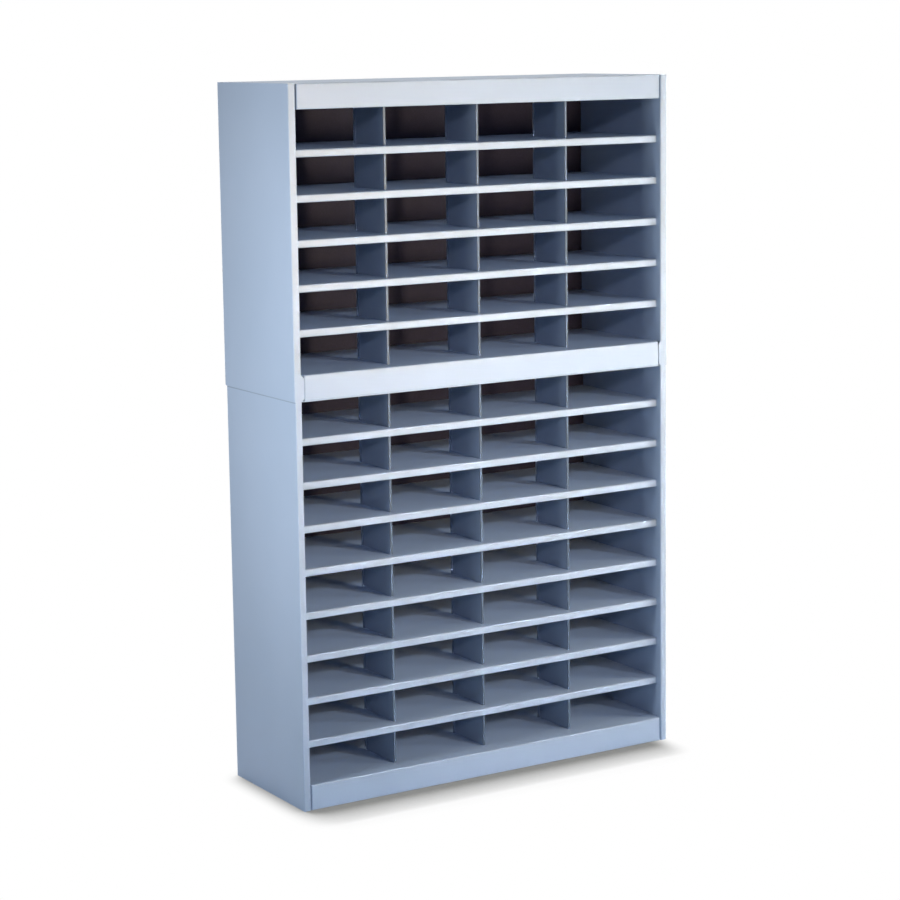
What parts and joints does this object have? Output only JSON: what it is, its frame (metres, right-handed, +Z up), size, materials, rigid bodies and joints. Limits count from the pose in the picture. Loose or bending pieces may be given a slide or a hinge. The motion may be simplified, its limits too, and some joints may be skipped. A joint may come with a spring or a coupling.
{
  "type": "pigeonhole mail sorter",
  "caption": "Tall open-front mail sorter in painted sheet steel, two stacked units of letter-size pigeonholes with sheet dividers, folded shelf lips and hardboard backs.",
  "frame": {"origin": "on the floor, midway across the width and midway between the front and rear faces of the upper unit", "axes": "+Z up; the pigeonholes open towards -Y; +X is the right-hand side seen from the front"},
  "size_m": [0.9526, 0.318, 1.524],
  "materials": {
    "powder_coated_steel": "fine semi-gloss powder coat in pale blue-grey",
    "hardboard": "dark brown hardboard, smooth",
    "zinc_plated_steel": "bright zinc plating"
  },
  "bodies": {
    "root": {"upper_right_side_panel": "powder_coated_steel", "upper_right_side_liner": "powder_coated_steel", "upper_left_side_panel": "powder_coated_steel", "upper_left_side_liner": "powder_coated_steel", "upper_base_pan": "powder_coated_steel", "upper_back_panel": "hardboard", "upper_shelf_1": "powder_coated_steel", "upper_shelf_2": "powder_coated_steel", "upper_shelf_3": "powder_coated_steel", "upper_shelf_4": "powder_coated_steel", "upper_shelf_5": "powder_coated_steel", "upper_row_1_dividers": "powder_coated_steel", "upper_row_2_dividers": "powder_coated_steel", "upper_row_3_dividers": "powder_coated_steel", "upper_row_4_dividers": "powder_coated_steel", "upper_row_5_dividers": "powder_coated_steel", "upper_row_6_dividers": "powder_coated_steel", "lower_right_side_panel": "powder_coated_steel", "lower_right_side_liner": "powder_coated_steel", "lower_left_side_panel": "powder_coated_steel", "lower_left_side_liner": "powder_coated_steel", "lower_base_pan": "powder_coated_steel", "lower_back_panel": "hardboard", "lower_shelf_1": "powder_coated_steel", "lower_shelf_2": "powder_coated_steel", "lower_shelf_3": "powder_coated_steel", "lower_shelf_4": "powder_coated_steel", "lower_shelf_5": "powder_coated_steel", "lower_shelf_6": "powder_coated_steel", "lower_shelf_7": "powder_coated_steel", "lower_shelf_8": "powder_coated_steel", "lower_row_1_dividers": "powder_coated_steel", "lower_row_2_dividers": "powder_coated_steel", "lower_row_3_dividers": "powder_coated_steel", "lower_row_4_dividers": "powder_coated_steel", "lower_row_5_dividers": "powder_coated_steel", "lower_row_6_dividers": "powder_coated_steel", "lower_row_7_dividers": "powder_coated_steel", "lower_row_8_dividers": "powder_coated_steel", "lower_row_9_dividers": "powder_coated_steel", "upper_top_panel": "powder_coated_steel", "lower_stacking_frame": "powder_coated_steel", "joining_bolts": "zinc_plated_steel", "joining_nuts": "zinc_plated_steel"}
  },
  "joints": []
}
